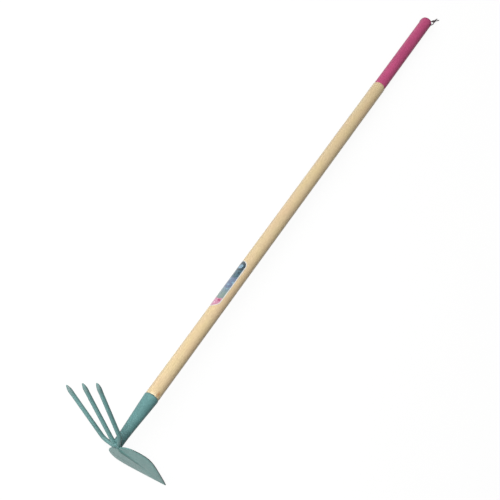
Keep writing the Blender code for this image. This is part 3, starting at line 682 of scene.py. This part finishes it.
# -------------------------------------------------------------------- socket
outer = []
for k in range(41):
    z = 50.0 + (159.4 - 50.0) * k / 40
    outer.append((smooth_table(SOCKET_OUTER, z), z))
lip = [(14.75, 160.2), (14.72, 160.75), (14.55, 161.08), (14.3, 161.2), (13.95, 161.18), (13.7, 161.0)]
inner = [(r - 1.5, z) for z, r in SOCKET_OUTER[::-1]]
socket_profile = [(8.75, 49.75), (9.5, 49.75), (9.75, 49.85)] + outer + lip + inner
socket = turned("socket_shell", socket_profile, 96, closed=True,
                wobble=lambda a, z: 0.035 * noise.noise(Vector((math.cos(a) * 1.3, math.sin(a) * 1.3, z * 0.03))))
place(socket, paint_head, "tool", "teal_paint", "head_socket")


# --------------------------------------------------------------------- tines
def tine(name, route, radii, seed, node):
    line, long = spaced(filleted(route, radii), 0.5)
    stations, s = [], 0.0
    while s < long - 26.0:
        stations.append(s)
        s += 2.0
    s = 26.0
    while s > 0.01:
        stations.append(long - s)
        s -= 0.35 if s < 2.0 else 0.8 if s < 8.0 else 1.3
    stations.append(long)
    rings, sides = [], 40
    for s in stations:
        i = min(int(s / long * (len(line) - 1)), len(line) - 2)
        t = s / long * (len(line) - 1) - i
        p = line[i].lerp(line[i + 1], t)
        d = (line[min(i + 3, len(line) - 1)] - line[max(i - 2, 0)]).normalized()
        wide = Vector((0, 0, 1)).cross(d).normalized()
        deep = d.cross(wide)
        left = long - s
        a = smooth_table([(x, w) for x, w, _ in TIP], left)
        b = smooth_table([(x, h) for x, _, h in TIP], left)
        ring = []
        for k in range(sides):
            q = math.tau * k / sides
            uneven = 1.0 + 0.018 * noise.noise(Vector((math.cos(q) * 0.8, math.sin(q) * 0.8, s * 0.07 + seed)))
            ring.append(p + wide * (a * uneven * math.cos(q)) + deep * (b * uneven * math.sin(q)))
        rings.append(ring)
    o = rings_to_object(name, rings, 50.0)
    return place(o, paint_prongs, "tool", "teal_paint", node)


# the outer roots turn in under the socket and end inside the weld
tine("prong_centre", [(-1.5, 0.0, 43.2), (-128.4, 0.0, 77.0)], [], 3.0, "centre_tine")
tine("prong_left", [(-1.2, 8.6, 44.9), (-16.3, 25.3, 48.0), (-129.0, 48.9, 74.7)], [23.0], 17.0, "left_tine")
tine("prong_right", [(-2.4, -8.6, 45.8), (-17.5, -25.7, 48.3), (-129.0, -47.7, 74.7)], [17.0], 41.0, "right_tine")

# --------------------------------------------------------------------- plate
BLADE_FRAME = (Matrix.Translation(Vector(BLADE_ROOT))
               @ Matrix.Rotation(-BLADE_RAKE, 4, "Y")
               @ Matrix.Translation(Vector((40.0, 0.0, 0.0)))
               @ Matrix.Rotation(BLADE_YAW, 4, "Z")
               @ Matrix.Translation(Vector((-40.0, 0.0, 0.0))))


def rib(s, eta):
    """Height of the pressed middle rib, towards the plate's outer face."""
    if s >= RIB_LEN:
        return 0.0
    k = 1.0 - (max(s, -4.0) + 4.0) / (RIB_LEN + 4.0)
    rise = min(1.0, max(0.0, (s + 4.0) / 13.0))
    height = RIB_H * k ** 0.85 * (0.35 + 0.65 * rise * rise * (3.0 - 2.0 * rise))
    half = smooth_table(RIB_HALF, s)
    u = abs(eta) / half
    if u >= 1.0:
        return 0.0
    gable = 1.0 - math.sqrt(u * u + 0.012)
    return max(0.0, height * (gable / (1.0 - math.sqrt(0.012))) * (1.0 - 0.35 * u**4))


def plate():
    stations, s = [], -4.0
    while s < BLADE_LEN:
        stations.append(s)
        s += 0.5 if s < 5.0 else 1.6 if s < 118.0 else 0.6
    stations.append(BLADE_LEN)
    rings = []
    for s in stations:
        half = smooth_table(HALF, s)
        inset = min(0.45, half * 0.4)
        across = [math.sin(math.pi / 2 * (2 * k / 72 - 1)) for k in range(73)]
        across = [0.35 * v + 0.65 * (2 * k / 72 - 1) for k, v in enumerate(across)]
        low, high = [], []
        for v in across:
            eta = v * (half - inset)
            near = min((1.0 - abs(v)) * half, (BLADE_LEN - s) * 0.5)
            thin = max(0.0, 1.0 - near / 6.0) * (BLADE_T - BLADE_EDGE_T) * min(1.0, max(0.0, (s + 4.0) / 26.0))
            dent = 0.12 * noise.noise(Vector((s * 0.03, eta * 0.03, 1.7)))
            h = rib(s, eta) - dent
            low.append((s, eta, -h - BLADE_T / 2 + thin))
            high.append((s, eta, -h + BLADE_T / 2))
        left_mid = (s, half, (low[-1][2] + high[-1][2]) / 2)
        right_mid = (s, -half, (low[0][2] + high[0][2]) / 2)

        def shoulder(mid, corner):
            return (s, corner[1] + (mid[1] - corner[1]) * 0.75, corner[2] + (mid[2] - corner[2]) * 0.3)

        ring = (low + [shoulder(left_mid, low[-1]), left_mid, shoulder(left_mid, high[-1])] + high[::-1]
                + [shoulder(right_mid, high[0]), right_mid, shoulder(right_mid, low[0])])
        rings.append([BLADE_FRAME @ Vector(p) for p in ring])
    return rings_to_object("hoe_plate", rings, 50.0)


hoe = plate()
to_blade = BLADE_FRAME.inverted()
for face in hoe.data.polygons:
    s, eta, _ = to_blade @ (face.center / MM)
    # painted shade: faces in a band along the plate's -Y edge take the edge paint, whose dark band stands in for shade
    shade_band_width = 0.5 + 1.1 * min(1.0, max(0.0, (s - 12.0) / 30.0))
    if s > 1.0 and eta < -smooth_table(HALF, s) + shade_band_width:
        face.material_index = 1
place(hoe, paint_plate, "tool", "teal_paint", "hoe_blade")
hoe.data.materials.append(paint_edge)


# --------------------------------------------------------------------- welds
def weld(name, lumps, seed, ripple, node):
    """Weld metal: lumps run together into one skin, with the ripples of the bead."""
    mesh = bpy.data.meshes.new(name)
    bm = bmesh.new()
    for i, (centre, semi) in enumerate(lumps):
        made = bmesh.ops.create_icosphere(bm, subdivisions=4, radius=1.0)["verts"]
        for v in made:
            d = v.co.normalized()
            grow = 1.0 + 0.08 * noise.noise(Vector((d.x * 1.8 + seed + i, d.y * 1.8, d.z * 1.8)))
            v.co = Vector(c + d[k] * semi[k] * grow for k, c in enumerate(centre)) * MM
    bm.to_mesh(mesh)
    bm.free()
    o = bpy.data.objects.new(name, mesh)
    SCENE.collection.objects.link(o)
    skin = o.modifiers.new("skin", "REMESH")
    skin.mode, skin.voxel_size = "VOXEL", 0.00045
    flow = o.modifiers.new("flow", "SMOOTH")
    flow.factor, flow.iterations = 0.6, 12
    bpy.context.view_layer.update()
    graph = bpy.context.evaluated_depsgraph_get()
    done = bpy.data.meshes.new_from_object(o.evaluated_get(graph))
    o.modifiers.clear()
    o.data = done
    SCENE.collection.objects.unlink(o)
    out = [v.normal.copy() for v in done.vertices]
    for v, n in zip(done.vertices, out):
        p = v.co / MM
        lift = 0.055 * math.sin(p.dot(Vector(ripple)) * 3.6 + 2.4 * noise.noise(p * 0.35))
        lift += 0.26 * noise.noise(p * 0.42 + Vector((seed, 0, 0)))
        v.co += n * lift * MM
    done.shade_smooth()
    return place(o, paint_weld, "tool", "teal_paint", node)


weld("weld_upper", [
    ((0.6, 0.0, 48.2), (9.4, 9.0, 3.9)),
    ((-7.4, 0.5, 49.4), (4.4, 8.2, 3.6)),
    ((-8.9, -4.4, 50.2), (3.6, 4.6, 3.3)),
    ((-8.7, 5.0, 49.8), (3.3, 4.2, 3.2)),
    ((6.2, 0.0, 46.4), (4.0, 7.5, 2.4)),
], 2.0, (0.2, 0.9, 0.3), "upper_weld")
weld("weld_lower", [
    ((-2.2, 0.0, 44.4), (4.8, 9.8, 2.6)),
    ((-3.1, 0.0, 42.9), (4.8, 4.9, 4.4)),
    ((-0.6, 8.2, 44.9), (4.5, 4.4, 4.3)),
    ((-1.8, -8.2, 45.7), (4.5, 4.3, 4.3)),
    ((2.2, 0.4, 42.6), (3.8, 8.4, 2.1)),
], 7.0, (0.1, 1.0, 0.1), "lower_weld")

# --------------------------------------------------------------------- label
half_arc = LABEL_ARC / 2
mid_z, half_len = (LABEL_LOW + LABEL_HIGH) / 2, (LABEL_HIGH - LABEL_LOW) / 2
rows, cols = 90, 36
verts, faces = [], []
for layer in (0.0, 0.14):
    for i in range(rows + 1):
        z = mid_z - math.cos(math.pi * i / rows) * half_len
        over = max(0.0, abs(z - mid_z) - (half_len - half_arc))
        wide = max(math.sqrt(max(half_arc**2 - over**2, 0.0)), 0.15)
        for j in range(cols + 1):
            a = LABEL_AZ + wide * (2 * j / cols - 1) / SHAFT_R
            r = SHAFT_R + 0.09 + layer
            verts.append((r * math.cos(a), r * math.sin(a), z))
m = (rows + 1) * (cols + 1)
for i in range(rows):
    for j in range(cols):
        a = i * (cols + 1) + j
        faces.append((a, a + cols + 1, a + cols + 2, a + 1))
        faces.append((m + a, m + a + 1, m + a + cols + 2, m + a + cols + 1))
rim = ([j for j in range(cols)] + [i * (cols + 1) + cols for i in range(rows)]
       + [rows * (cols + 1) + j for j in range(cols, 0, -1)] + [i * (cols + 1) for i in range(rows, 0, -1)])
for k, a in enumerate(rim):
    b = rim[(k + 1) % len(rim)]
    faces.append((a, b, m + b, m + a))
label = from_points("label_film_piece", verts, faces, 40.0)
place(label, label_film(), "tool", "label", "shaft_label")

# ------------------------------------------------- CAD nodes that stay as made
metal = zinc()
for name in ("socket_screw", "socket_disc"):
    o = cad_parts[name]
    o.data.materials.clear()
    o.data.materials.append(metal)
    o.data.shade_smooth()
    o.data.set_sharp_from_angle(angle=math.radians(35))

# --------------------------------------------------------------------- stage
floor_mesh = bpy.data.meshes.new("floor")
floor_mesh.from_pydata([(-12, -12, 0), (12, -12, 0), (12, 12, 0), (-12, 12, 0)], [], [(0, 1, 2, 3)])
floor = bpy.data.objects.new("floor", floor_mesh)
SCENE.collection.objects.link(floor)
f = Nodes("pale_floor", 0.9)
f.set("Base Color", f.ramp(f.noise(f.where, 1.5, 2.0), [(0.3, (0.44, 0.44, 0.435)), (0.7, (0.47, 0.47, 0.465))]))
f.shader.inputs["Specular IOR Level"].default_value = 0.1
# a white sweep, lit from behind: bright to look at and in reflections
glow = f.tree.nodes.new("ShaderNodeEmission")
glow.inputs["Color"].default_value = (1.0, 1.0, 1.0, 1.0)
glow.inputs["Strength"].default_value = 1.28
rays = f.tree.nodes.new("ShaderNodeLightPath").outputs
blend = f.tree.nodes.new("ShaderNodeMixShader")
f.put(blend.inputs[0], f.math("MULTIPLY", f.math("MAXIMUM", rays["Is Camera Ray"], rays["Is Glossy Ray"]), 0.72))
f.tree.links.new(f.shader.outputs[0], blend.inputs[1])
f.tree.links.new(glow.outputs[0], blend.inputs[2])
f.tree.links.new(blend.outputs[0], f.tree.nodes["Material Output"].inputs["Surface"])
floor_mesh.materials.append(f.mat)

world = bpy.data.worlds.new("studio")
SCENE.world = world
world.use_nodes = True
sky = world.node_tree
sky.nodes["Background"].inputs["Color"].default_value = (1.0, 1.0, 1.0, 1.0)
seen = sky.nodes.new("ShaderNodeMapRange")
seen.inputs["To Min"].default_value = 0.19
seen.inputs["To Max"].default_value = 1.0
sky.links.new(sky.nodes.new("ShaderNodeLightPath").outputs["Is Camera Ray"], seen.inputs["Value"])
sky.links.new(seen.outputs["Result"], sky.nodes["Background"].inputs["Strength"])


def softbox(name, place_at, aim, size, watts):
    data = bpy.data.lights.new(name, "AREA")
    data.shape, data.size, data.size_y, data.energy = "RECTANGLE", size[0], size[1], watts
    o = bpy.data.objects.new(name, data)
    o.location = place_at
    o.rotation_euler = (Vector(aim) - Vector(place_at)).to_track_quat("-Z", "Y").to_euler()
    SCENE.collection.objects.link(o)
    return o


softbox("key", (-1.23, 2.13, 1.72), (0.0, 0.0, 0.0), (2.2, 2.0), 87.0)
softbox("top", (0.3, 0.5, 3.0), (0.0, 0.0, 0.0), (2.4, 1.6), 5.5)
softbox("fill", (-2.7, 0.55, 0.45), (-0.6, 0.0, 0.05), (1.1, 0.7), 12.0)

SCENE.view_settings.view_transform = "Standard"
SCENE.view_settings.look = "None"
SCENE.view_settings.exposure = 0.0
SCENE.view_settings.gamma = 1.0
